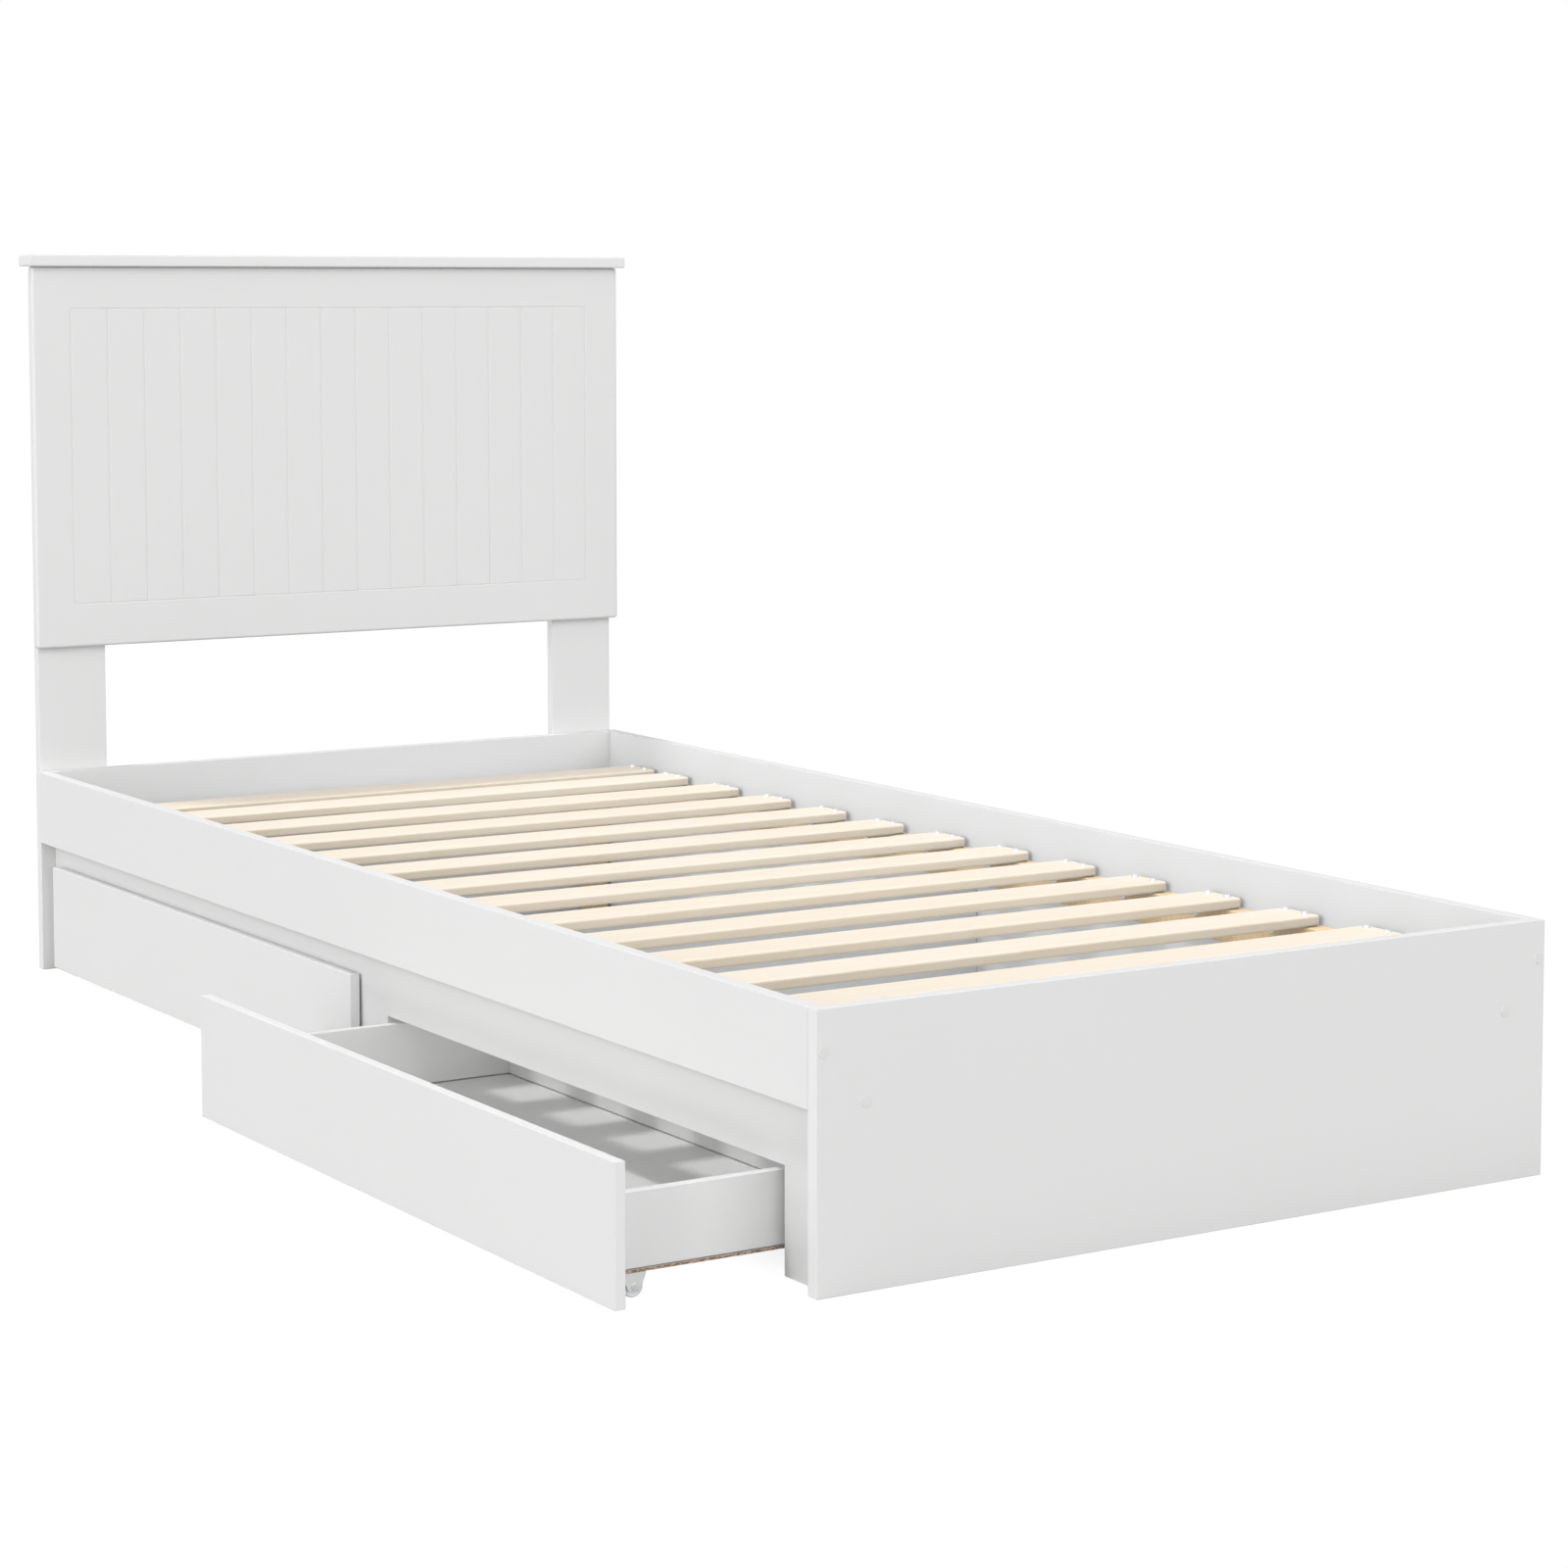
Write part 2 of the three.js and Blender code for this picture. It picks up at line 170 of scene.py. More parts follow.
def mitres(outline: np.ndarray) -> np.ndarray:
    """The way each corner moves when an outline is drawn in by one unit all round.

    With n and m the outward normals of the two sides that meet there, it is (n + m) / (1 + n.m).

    Args:
        outline: Counterclockwise points as (point, uv).

    Returns:
        Outward vectors as (point, uv).
    """
    side = np.roll(outline, -1, axis=0) - outline
    side /= np.linalg.norm(side, axis=1, keepdims=True)
    after = np.stack([side[:, 1], -side[:, 0]], axis=-1)
    before = np.roll(after, 1, axis=0)
    return (after + before) / (1 + np.sum(after * before, axis=1, keepdims=True))


def eased_extrusion(
    outline: np.ndarray, axis: Axis, start: float, end: float, ease: float, steps: int = 3
) -> Surface:
    """An outline carried along an axis, with both rims eased by a quarter circle.

    At an angle a of the quarter, the outline is drawn in by ease * (1 - cos a) and stands ease * (1 - sin a)
    short of the end.

    Args:
        outline: Counterclockwise points in the plane across the axis.
        axis: The direction that the outline is carried in.
        start: Where it starts along the axis.
        end: Where it ends.
        ease: Radius of the eased rims.
        steps: Segments in each rim.

    Returns:
        The closed shell, with rim falling from 1 to 0 round each quarter.
    """
    quarter = np.linspace(math.pi / 2, 0, steps + 1)
    drawn_in = ease * (1 - np.cos(quarter))
    short = ease * (1 - np.sin(quarter))
    along = np.concatenate([start + short, (end - short)[::-1]])
    inset = np.concatenate([drawn_in, drawn_in[::-1]])
    rim = np.concatenate([np.cos(quarter), np.cos(quarter)[::-1]])
    flat = outline[None] - inset[:, None, None] * mitres(outline)[None]
    depth = np.broadcast_to(along[:, None, None], flat.shape[:2] + (1,))
    return loft(turned_to(np.concatenate([flat, depth], axis=-1), axis), rim)


def turning(profile: np.ndarray, centre: np.ndarray, axis: Axis, sides: int, sign: int = 1) -> Surface:
    """A profile of (radius, height) turned about an axis: centre + radius * (cos a, sin a) + height.

    Args:
        profile: Points as (radius, height), from one flat end to the other.
        centre: Where the heights start.
        axis: The axis it turns about.
        sides: Segments in a full turn.
        sign: 1 for heights along the axis, -1 against it.

    Returns:
        The closed shell.
    """
    angle = np.arange(sides) * 2 * math.pi / sides
    radius = profile[:, 0, None]
    height = np.broadcast_to(sign * profile[:, 1, None], (len(profile), sides))
    rings = np.stack([radius * np.cos(angle), radius * np.sin(angle), height], axis=-1)
    return loft(turned_to(rings, axis) + centre, np.ones(len(profile)))


def span_of(node: str) -> tuple[np.ndarray, np.ndarray]:
    """The lowest and highest corner of a node of the frame."""
    low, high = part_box(node)
    return np.array(low), np.array(high)


def across(point: np.ndarray, axis: Axis) -> np.ndarray:
    """The two coordinates of a point across an axis, in the order that turned_to takes them."""
    return np.roll(point, -(int(axis) + 1))[:2]


# ------------------------------------------------
# Shader nodes
# ------------------------------------------------


class Graph:
    """A node tree with short calls for adding and joining nodes."""

    def __init__(self, tree: NodeTree) -> None:
        """Starts on an existing tree."""
        self.tree = tree

    def add(self, kind: str, values: Optional[dict] = None, **settings: object) -> Node:
        """Adds a node.

        Args:
            kind: Its type name, such as ShaderNodeMix.
            values: Input name or number to a constant, or to a socket to link from.
            settings: Properties of the node itself.

        Returns:
            The new node.
        """
        node = self.tree.nodes.new(kind)
        for name, value in settings.items():
            setattr(node, name, value)
        for key, value in (values or {}).items():
            if isinstance(value, NodeSocket):
                self.tree.links.new(value, node.inputs[key])
            else:
                node.inputs[key].default_value = value
        return node

    def math(self, operation: str, *values: object) -> NodeSocket:
        """One arithmetic step on numbers or sockets."""
        return self.add("ShaderNodeMath", dict(enumerate(values)), operation=operation).outputs[0]

    def blend(self, factor: object, first: object, second: object, mode: str = "MIX") -> NodeSocket:
        """Mixes two colours by a factor."""
        inputs = {"Factor": factor, 6: first, 7: second}
        return self.add("ShaderNodeMix", inputs, data_type="RGBA", blend_type=mode).outputs[2]

    def remap(
        self, value: object, low: float, high: float, new_low: float = 0.0, new_high: float = 1.0
    ) -> NodeSocket:
        """Stretches a range of values to another, held at its ends."""
        inputs = {"Value": value, "From Min": low, "From Max": high, "To Min": new_low, "To Max": new_high}
        return self.add("ShaderNodeMapRange", inputs).outputs[0]

    def stretched(self, vector: object, scale: Sequence[float]) -> NodeSocket:
        """Object coordinates, or another vector, scaled on each axis."""
        return self.add("ShaderNodeMapping", {"Vector": vector, "Scale": scale}).outputs[0]

    def noise(self, vector: object, scale: float, detail: float = 2.0, roughness: float = 0.5) -> NodeSocket:
        """A noise value from 0 to 1."""
        inputs = {"Vector": vector, "Scale": scale, "Detail": detail, "Roughness": roughness}
        return self.add("ShaderNodeTexNoise", inputs).outputs["Fac"]


def rgba(colour: Colour) -> tuple[float, float, float, float]:
    """A colour with full alpha."""
    return (*colour, 1.0)


def make_group(
    name: str, inputs: dict[str, object], outputs: dict[str, str]
) -> tuple[NodeTree, Graph, Node, Node]:
    """Starts a shader node group.

    Args:
        name: The group's name.
        inputs: Input name to its default: a number, or three numbers for a vector or a colour.
        outputs: Output name to Color or Float.

    Returns:
        The group's tree, a graph on it, and its input and output nodes.
    """
    tree = bpy.data.node_groups.new(name, "ShaderNodeTree")
    for label, default in inputs.items():
        if default is Axis:
            kind = "NodeSocketVector"
        else:
            kind = "NodeSocketFloat" if isinstance(default, float) else "NodeSocketColor"
        socket = tree.interface.new_socket(label, in_out="INPUT", socket_type=kind)
        if kind != "NodeSocketVector":
            socket.default_value = default if isinstance(default, float) else rgba(default)
    for label, kind in outputs.items():
        tree.interface.new_socket(label, in_out="OUTPUT", socket_type="NodeSocket" + kind)
    graph = Graph(tree)
    return tree, graph, graph.add("NodeGroupInput"), graph.add("NodeGroupOutput")


class Effects:
    """The node groups that the finishes share, each built once."""

    def __init__(self) -> None:
        """Builds the groups."""
        self.mottle = self._mottle()
        self.grain = self._grain()
        self.speckle = self._speckle()

    @staticmethod
    def _mottle() -> NodeTree:
        """Slow uneven tone and a fine pressed texture, for coated board, plastic and plating."""
        tree, graph, source, sink = make_group(
            "Pressed Facing",
            {"Vector": Axis, "Tone": (0.8, 0.8, 0.8), "Uneven": 0.02, "Pore Scale": 900.0, "Gloss Low": 0.4,
             "Gloss High": 0.5},
            {"Color": "Color", "Roughness": "Float", "Height": "Float"},
        )
        vector = source.outputs["Vector"]
        cloud = graph.noise(vector, 5.0, 3.0)
        swing = graph.math("MULTIPLY", graph.math("SUBTRACT", cloud, 0.5), source.outputs["Uneven"])
        level = graph.math("ADD", swing, 1.0)
        shade = graph.add("ShaderNodeCombineXYZ", {0: level, 1: level, 2: level}).outputs[0]
        colour = graph.blend(1.0, source.outputs["Tone"], shade, "MULTIPLY")
        pores = graph.add(
            "ShaderNodeTexNoise",
            {"Vector": vector, "Scale": source.outputs["Pore Scale"], "Detail": 2.0, "Roughness": 0.6},
        ).outputs["Fac"]
        spread = graph.math("SUBTRACT", source.outputs["Gloss High"], source.outputs["Gloss Low"])
        clouds = graph.noise(vector, 23.0, 4.0)
        gloss = graph.math("MULTIPLY_ADD", clouds, spread, source.outputs["Gloss Low"])
        graph.tree.links.new(colour, sink.inputs["Color"])
        graph.tree.links.new(gloss, sink.inputs["Roughness"])
        graph.tree.links.new(pores, sink.inputs["Height"])
        return tree

    @staticmethod
    def _grain() -> NodeTree:
        """Softwood along X: bent growth rings, fine fibres, and a tone that changes from piece to piece."""
        tree, graph, source, sink = make_group(
            "Softwood Grain",
            {"Vector": Axis, "Early": (0.9, 0.8, 0.65), "Late": (0.8, 0.65, 0.45), "Ring Scale": 40.0,
             "Contrast": 0.5, "Fibre": 0.3, "Tone Drift": 0.3},
            {"Color": "Color", "Roughness": "Float", "Height": "Float"},
        )
        vector = source.outputs["Vector"]
        bend = graph.add(
            "ShaderNodeTexNoise",
            {"Vector": graph.stretched(vector, (1.1, 9.0, 9.0)), "Scale": 1.0, "Detail": 3.0},
        ).outputs["Color"]
        offset = graph.add(
            "ShaderNodeVectorMath", {0: bend, 1: (0.0, 0.12, 0.12)}, operation="MULTIPLY"
        ).outputs[0]
        bent = graph.add("ShaderNodeVectorMath", {0: vector, 1: offset}, operation="ADD").outputs[0]
        rings = graph.add(
            "ShaderNodeTexWave",
            {"Vector": bent, "Scale": source.outputs["Ring Scale"], "Distortion": 1.5, "Detail": 2.0,
             "Detail Scale": 1.2},
            wave_type="RINGS", rings_direction="X", wave_profile="SAW",
        ).outputs["Fac"]
        late = graph.math("MULTIPLY", graph.math("POWER", rings, 3.0), source.outputs["Contrast"])
        fibres = graph.noise(graph.stretched(vector, (16.0, 900.0, 900.0)), 1.0, 4.0, 0.7)
        streak = graph.math("MULTIPLY", graph.remap(fibres, 0.35, 0.75), source.outputs["Fibre"])
        drift = graph.noise(graph.stretched(vector, (0.5, 8.5, 8.5)), 1.0, 1.0)
        tone = graph.math("MULTIPLY", graph.remap(drift, 0.3, 0.7), source.outputs["Tone Drift"])
        share = graph.math("MINIMUM", graph.math("ADD", graph.math("ADD", late, streak), tone), 1.0)
        colour = graph.blend(share, source.outputs["Early"], source.outputs["Late"])
        graph.tree.links.new(colour, sink.inputs["Color"])
        graph.tree.links.new(graph.remap(share, 0.0, 1.0, 0.52, 0.68), sink.inputs["Roughness"])
        height = graph.math("ADD", graph.math("MULTIPLY", rings, 0.4), fibres)
        graph.tree.links.new(height, sink.inputs["Height"])
        return tree

    @staticmethod
    def _speckle() -> NodeTree:
        """Short fibres and chips of two tones, for raw hardboard and sawn ends."""
        tree, graph, source, sink = make_group(
            "Fibre Speckle",
            {
                "Vector": Axis, "Base": (0.3, 0.18, 0.1), "Chip": (0.6, 0.45, 0.3),
                "Chip Scale": 260.0, "Share": 0.4,
            },
            {"Color": "Color", "Height": "Float"},
        )
        vector = graph.stretched(source.outputs["Vector"], (1.0, 1.0, 2.2))
        chips = graph.add(
            "ShaderNodeTexVoronoi",
            {"Vector": vector, "Scale": source.outputs["Chip Scale"], "Randomness": 1.0},
        )
        pick = graph.add("ShaderNodeSeparateColor", {"Color": chips.outputs["Color"]}).outputs[0]
        chosen = graph.math("LESS_THAN", pick, source.outputs["Share"])
        soft = graph.math("MULTIPLY", chosen, graph.remap(graph.noise(vector, 900.0, 3.0), 0.3, 0.6))
        colour = graph.blend(soft, source.outputs["Base"], source.outputs["Chip"])
        graph.tree.links.new(colour, sink.inputs["Color"])
        graph.tree.links.new(graph.math("ADD", pick, graph.noise(vector, 1400.0)), sink.inputs["Height"])
        return tree


# ------------------------------------------------
# Finishes
# ------------------------------------------------


class Coat:
    """One material in the making: its graph, its Principled shader and the coordinates it reads."""

    def __init__(self, name: str) -> None:
        """Starts a material with a shader and no colour."""
        self.material = bpy.data.materials.new(name)
        self.material.use_nodes = True
        self.graph = Graph(self.material.node_tree)
        self.material.node_tree.nodes.clear()
        self.shader = self.graph.add("ShaderNodeBsdfPrincipled")
        out = self.graph.add("ShaderNodeOutputMaterial")
        self.join(self.shader.outputs["BSDF"], out.inputs["Surface"])
        self.place = self.graph.add("ShaderNodeTexCoord").outputs["Object"]
        self.rim = self.graph.add("ShaderNodeAttribute", attribute_name="rim").outputs["Fac"]

    def join(self, source: NodeSocket, target: NodeSocket) -> None:
        """Links two sockets."""
        self.material.node_tree.links.new(source, target)

    def use(self, group: NodeTree, values: dict) -> Node:
        """Places an effect group that reads this material's coordinates."""
        node = self.graph.add("ShaderNodeGroup", node_tree=group)
        self.join(self.place, node.inputs["Vector"])
        for name, value in values.items():
            node.inputs[name].default_value = value
        return node

    def colour(self, source: NodeSocket) -> None:
        """Sets what feeds the base colour."""
        self.join(source, self.shader.inputs["Base Color"])

    def bump(self, height: NodeSocket, strength: float, distance: float) -> None:
        """Feeds a height to the shader's normal."""
        values = {"Height": height, "Strength": strength, "Distance": distance}
        node = self.graph.add("ShaderNodeBump", values)
        self.join(node.outputs["Normal"], self.shader.inputs["Normal"])


@dataclass(frozen=True)
class BoardFinish:
    """White melamine-faced board, with a banding strip glued round its edges."""

    name: str = "white faced board"
    facing: Colour = (0.775, 0.775, 0.772)
    banding: Colour = (0.80, 0.80, 0.80)
    seam: Colour = (0.60, 0.60, 0.59)
    uneven: float = 0.018
    pores_per_metre: float = 1100.0

    def make(self, effects: Effects) -> Material:
        """Builds the material: facing on the faces, banding on the rim, and a hairline seam between them."""
        coat = Coat(self.name)
        facing = coat.use(effects.mottle, {
            "Tone": rgba(self.facing), "Uneven": self.uneven, "Pore Scale": self.pores_per_metre,
            "Gloss Low": 0.40, "Gloss High": 0.50,
        })
        edge = coat.graph.remap(coat.rim, 0.75, 0.95)
        banded = coat.graph.blend(edge, facing.outputs["Color"], rgba(self.banding))
        past = coat.graph.remap(coat.rim, 0.05, 0.2)
        before = coat.graph.remap(coat.rim, 0.45, 0.3)
        line = coat.graph.math("MULTIPLY", coat.graph.math("MULTIPLY", past, before), 0.5)
        coat.colour(coat.graph.blend(line, banded, rgba(self.seam)))
        smooth = coat.graph.math("MULTIPLY", edge, 0.08)
        roughness = coat.graph.math("SUBTRACT", facing.outputs["Roughness"], smooth)
        coat.join(roughness, coat.shader.inputs["Roughness"])
        coat.bump(facing.outputs["Height"], 0.10, 0.0003)
        coat.shader.inputs["Specular IOR Level"].default_value = 0.35
        return coat.material


@dataclass(frozen=True)
class PineFinish:
    """Planed softwood with sawn ends.

    bounce is the colour it lends to light that it passes on. edge is painted shade: it multiplies the colour
    of faces that don't face up, by a share that runs from none at an upward slope of 0.7 to all of it at 0.1,
    so that the sides of the wood come out darker as if shaded.
    """

    name: str
    early: Colour
    late: Colour
    end: Colour
    bounce: Colour = (0.38, 0.38, 0.375)
    # painted shade: the colour that darkens faces which don't face up, as if they were in shade
    edge: Colour = (0.86, 0.84, 0.79)
    rings_per_metre: float = 26.0
    contrast: float = 0.30
    fibre: float = 0.22
    drift: float = 0.25

    def make(self, effects: Effects) -> Material:
        """Builds the material: grain along the length, and short dark pores on the sawn ends."""
        coat = Coat(self.name)
        grain = coat.use(effects.grain, {
            "Early": rgba(self.early), "Late": rgba(self.late), "Ring Scale": self.rings_per_metre,
            "Contrast": self.contrast, "Fibre": self.fibre, "Tone Drift": self.drift,
        })
        sawn = coat.use(effects.speckle, {
            "Base": rgba(self.end), "Chip": rgba(self.late), "Chip Scale": 900.0, "Share": 0.35,
        })
        length = coat.graph.remap(coat.rim, 0.1, 0.6)
        wood = coat.graph.blend(length, sawn.outputs["Color"], grain.outputs["Color"])
        # painted shade: faces sloping up less than 0.7 are darkened by the edge colour, fully below 0.1
        normal = coat.graph.add("ShaderNodeNewGeometry").outputs["Normal"]
        up = coat.graph.add("ShaderNodeSeparateXYZ", {0: normal}).outputs["Z"]
        edge = coat.graph.remap(up, 0.7, 0.1)
        wood = coat.graph.blend(edge, wood, coat.graph.blend(1.0, wood, rgba(self.edge), "MULTIPLY"))
        looked_at = coat.graph.add("ShaderNodeLightPath").outputs["Is Camera Ray"]
        coat.colour(coat.graph.blend(looked_at, rgba(self.bounce), wood))
        coat.join(grain.outputs["Roughness"], coat.shader.inputs["Roughness"])
        coat.bump(grain.outputs["Height"], 0.25, 0.0004)
        coat.shader.inputs["Specular IOR Level"].default_value = 0.3
        return coat.material


@dataclass(frozen=True)
class HardboardFinish:
    """Thin brown fibreboard, painted white on its upper face."""

    name: str = "hardboard"
    painted: Colour = (0.76, 0.76, 0.755)
    fibre: Colour = (0.27, 0.15, 0.085)
    chip: Colour = (0.62, 0.48, 0.36)

    def make(self, effects: Effects) -> Material:
        """Builds the material: paint where the surface looks up, raw fibre at the edges and underneath."""
        coat = Coat(self.name)
        raw = coat.use(effects.speckle, {
            "Base": rgba(self.fibre), "Chip": rgba(self.chip), "Chip Scale": 320.0, "Share": 0.5,
        })
        paint = coat.use(effects.mottle, {
            "Tone": rgba(self.painted), "Uneven": 0.03, "Pore Scale": 700.0,
            "Gloss Low": 0.45, "Gloss High": 0.6,
        })
        normal = coat.graph.add("ShaderNodeNewGeometry").outputs["Normal"]
        up = coat.graph.add("ShaderNodeSeparateXYZ", {0: normal}).outputs["Z"]
        top = coat.graph.remap(up, 0.6, 0.8)
        coat.colour(coat.graph.blend(top, raw.outputs["Color"], paint.outputs["Color"]))
        coat.join(coat.graph.remap(top, 0.0, 1.0, 0.85, 0.5), coat.shader.inputs["Roughness"])
        coat.bump(raw.outputs["Height"], 0.2, 0.0004)
        return coat.material


@dataclass(frozen=True)
class SmoothFinish:
    """Moulded plastic or plated steel."""

    name: str
    tone: Colour
    metallic: float = 0.0
    gloss: tuple[float, float] = (0.35, 0.5)
    uneven: float = 0.05
    pores_per_metre: float = 1500.0
    relief: float = 0.08

    def make(self, effects: Effects) -> Material:
        """Builds the material from the pressed facing alone."""
        coat = Coat(self.name)
        skin = coat.use(effects.mottle, {
            "Tone": rgba(self.tone), "Uneven": self.uneven, "Pore Scale": self.pores_per_metre,
            "Gloss Low": self.gloss[0], "Gloss High": self.gloss[1],
        })
        coat.colour(skin.outputs["Color"])
        coat.join(skin.outputs["Roughness"], coat.shader.inputs["Roughness"])
        coat.bump(skin.outputs["Height"], self.relief, 0.0002)
        coat.shader.inputs["Metallic"].default_value = self.metallic
        return coat.material


class Palette:
    """Every finish of the bed, made once."""

    def __init__(self) -> None:
        """Makes the materials."""
        effects = Effects()
        self.board = BoardFinish().make(effects)
        self.slat = PineFinish(
            "slat pine", early=(0.92, 0.84, 0.74), late=(0.83, 0.70, 0.53), end=(0.78, 0.65, 0.48)
        ).make(effects)
        self.batten = PineFinish(
            "batten pine", early=(0.93, 0.74, 0.49), late=(0.80, 0.56, 0.32), end=(0.70, 0.52, 0.32),
            contrast=0.45, fibre=0.35,
        ).make(effects)
        self.hardboard = HardboardFinish().make(effects)
        zinc = SmoothFinish("zinc plating", (0.90, 0.91, 0.93), metallic=0.7, gloss=(0.25, 0.40))
        self.zinc = zinc.make(effects)
        self.nylon = SmoothFinish("castor nylon", (0.84, 0.86, 0.89), gloss=(0.3, 0.45)).make(effects)
        plastic = SmoothFinish("cap plastic", (0.75, 0.75, 0.745), gloss=(0.3, 0.4), uneven=0.01)
        self.plastic = plastic.make(effects)


# ------------------------------------------------
# Pieces
# ------------------------------------------------


SHARP_ANGLE = math.radians(32)


def make_piece(
    name: str, shells: Sequence[Surface], material: Material, body: str
) -> Object:
    """Puts one or more shells into one mesh object that rides on a body.

    Args:
        name: The piece's name.
        shells: Closed shells, in the bed's own frame.
        material: Its finish.
        body: The body that it rides on.

    Returns:
        The object, at the origin.
    """
    starts = np.cumsum([0] + [len(shell.points) for shell in shells[:-1]])
    faces = [
        tuple(int(start) + i for i in face) for start, shell in zip(starts, shells) for face in shell.faces
    ]
    mesh = bpy.data.meshes.new(name)
    mesh.from_pydata(np.concatenate([shell.points for shell in shells]).tolist(), [], faces)
    rim = mesh.attributes.new("rim", "FLOAT", "POINT")
    rim.data.foreach_set("value", np.concatenate([shell.rim for shell in shells]).astype(np.float32))
    mesh.shade_smooth()
    mesh.set_sharp_from_angle(angle=SHARP_ANGLE)
    mesh.materials.append(material)
    piece = bpy.data.objects.new(name, mesh)
    bpy.context.collection.objects.link(piece)
    flats = piece.modifiers.new("flat faces stay flat", "WEIGHTED_NORMAL")
    flats.keep_sharp = True
    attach(piece, body)
    log.info("%s: %d shells, %d faces, on %s", name, len(shells), len(faces), body)
    return piece


def stand_for(piece: Object, node: str) -> None:
    """Hides a node of the frame behind the piece made for it."""
    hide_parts(node)


@dataclass
class Joiner:
    """Makes the flat boards of a sub-assembly, each the size of its node."""

    material: Material
    body: str
    ease: float = 0.0008
    slit: float = 0.0

    def shell(self, node: str) -> Surface:
        """A board as wide, long and thick as its node, with eased edges, and a slit left under it."""
        low, high = span_of(node)
        low[2] += self.slit
        thin = Axis(int(np.argmin(high - low)))
        outline = rounded_rectangle(across(low, thin), across(high, thin), self.ease, 2)
        return eased_extrusion(outline, thin, low[thin], high[thin], self.ease)

    def make(self, node: str) -> Object:
        """Makes the board in place of its node."""
        piece = make_piece(f"{node}_faced", [self.shell(node)], self.material, self.body)
        stand_for(piece, node)
        return piece


@dataclass
class CoverCap:
    """A moulded disc pressed over a screw: a flat top with a soft rim."""

    radius: float = 0.006
    height: float = 0.0009
    rim: float = 0.0006

    def shell(self, centre: Sequence[float], axis: Axis, sign: int) -> Surface:
        """One cap on a face, whose rim is a quarter circle between its side and its top."""
        quarter = np.linspace(0, math.pi / 2, 4)
        radii = np.concatenate([[self.radius], self.radius - self.rim * (1 - np.cos(quarter))])
        heights = np.concatenate([[-self.rim], self.height - self.rim * (1 - np.sin(quarter))])
        return turning(np.stack([radii, heights], axis=-1), np.array(centre), axis, 28, sign)


@dataclass
class PanHead:
    """A screw's domed head with a cross recess."""

    radius: float = 0.0044
    height: float = 0.0026
    recess: float = 0.0013
    slot_half_width: float = 0.0006
    slot_reach: float = 0.0026
    rings: int = 9
    sides: int = 24

    def shell(self, centre: Sequence[float], axis: Axis, sign: int) -> Surface:
        """One head: its height is a dome, height * sqrt(1 - r^2 / R^2), less the recess inside the cross."""
        share = np.concatenate([[1.0], np.linspace(1.0, 0.08, self.rings)])
        angle = np.arange(self.sides) * 2 * math.pi / self.sides
        radius = (self.radius * share)[:, None]
        u = radius * np.cos(angle)
        v = radius * np.sin(angle)
        dome = self.height * np.sqrt(np.clip(1 - share**2, 0, 1))[:, None] + self.height * 0.15
        narrow = np.minimum(np.abs(u), np.abs(v)) < self.slot_half_width
        inside = narrow & (radius < self.slot_reach)
        height = np.where(inside, dome - self.recess, dome)
        height[0] = -self.height * 0.3
        rings = turned_to(np.stack([u, v, sign * height], axis=-1), axis) + np.array(centre)
        return loft(rings, np.ones(len(rings)))


# ------------------------------------------------
# Sub-assemblies
# ------------------------------------------------


@dataclass
class BoxFrame:
    """The low box: end boards, side rails, base panels, the divider, corner posts and cover caps."""

    palette: Palette
    body: str = "bed_frame"
    boards: tuple[str, ...] = (
        "footboard", "head_end_board", "side_rail_left", "side_rail_right", "base_panel_right", "bay_divider",
    )
    notched: str = "base_panel_left"
    ease: float = 0.0008
    rail_cap_drop: float = 0.042
    post_cap_drop: float = 0.095
    post_cap_inset: float = 0.0565
    post_ease: float = 0.0012

    def build(self) -> None:
        """Makes every piece of the box."""
        joiner = Joiner(self.palette.board, self.body, self.ease)
        for node in self.boards:
            joiner.make(node)
        self._notched_panel()
        self._posts()
        self._cover_caps()

    def _notched_panel(self) -> None:
        """The drawer side's panel: a rectangle in the YZ plane, notched up from the floor for each drawer.

        A notch is as wide as the drawer box between its sides and their running gap, and reaches the
        height that leaves the box the same gap above.
        """
        low, high = span_of(self.notched)
        corners: list[tuple[float, float]] = [(low[1], low[2])]
        for name in ("foot_drawer", "head_drawer"):
            bay = DrawerBay.around(name)
            corners += [(bay.foot, low[2]), (bay.foot, bay.top), (bay.head, bay.top), (bay.head, low[2])]
        corners += [(high[1], low[2]), (high[1], high[2]), (low[1], high[2])]
        shell = eased_extrusion(np.array(corners), Axis.X, low[0], high[0], self.ease)
        piece = make_piece(f"{self.notched}_faced", [shell], self.palette.board, self.body)
        stand_for(piece, self.notched)

    def _posts(self) -> None:
        """The four softwood corner posts, with rounded arrises."""
        for end in ("foot", "head"):
            for side in ("left", "right"):
                node = f"corner_post_{end}_{side}"
                low, high = span_of(node)
                outline = rounded_rectangle(low[:2], high[:2], self.post_ease, 3)
                shell = eased_extrusion(outline, Axis.Z, low[2], high[2], self.post_ease / 2)
                piece = make_piece(f"{node}_planed", [shell], self.palette.batten, self.body)
                stand_for(piece, node)

    def _cover_caps(self) -> None:
        """Caps over the screws that go through the footboard into the rail ends and the corner posts."""
        low, high = span_of("footboard")
        rail_low, rail_high = span_of("side_rail_right")
        rail_middle = (rail_low[0] + rail_high[0]) / 2
        places = []
        for side in (-1, 1):
            places.append((side * rail_middle, low[1], high[2] - self.rail_cap_drop))
            places.append((side * (high[0] - self.post_cap_inset), low[1], high[2] - self.post_cap_drop))
        cap = CoverCap()
        shells = [cap.shell(place, Axis.Y, -1) for place in places]
        make_piece("footboard_cover_caps", shells, self.palette.plastic, self.body)


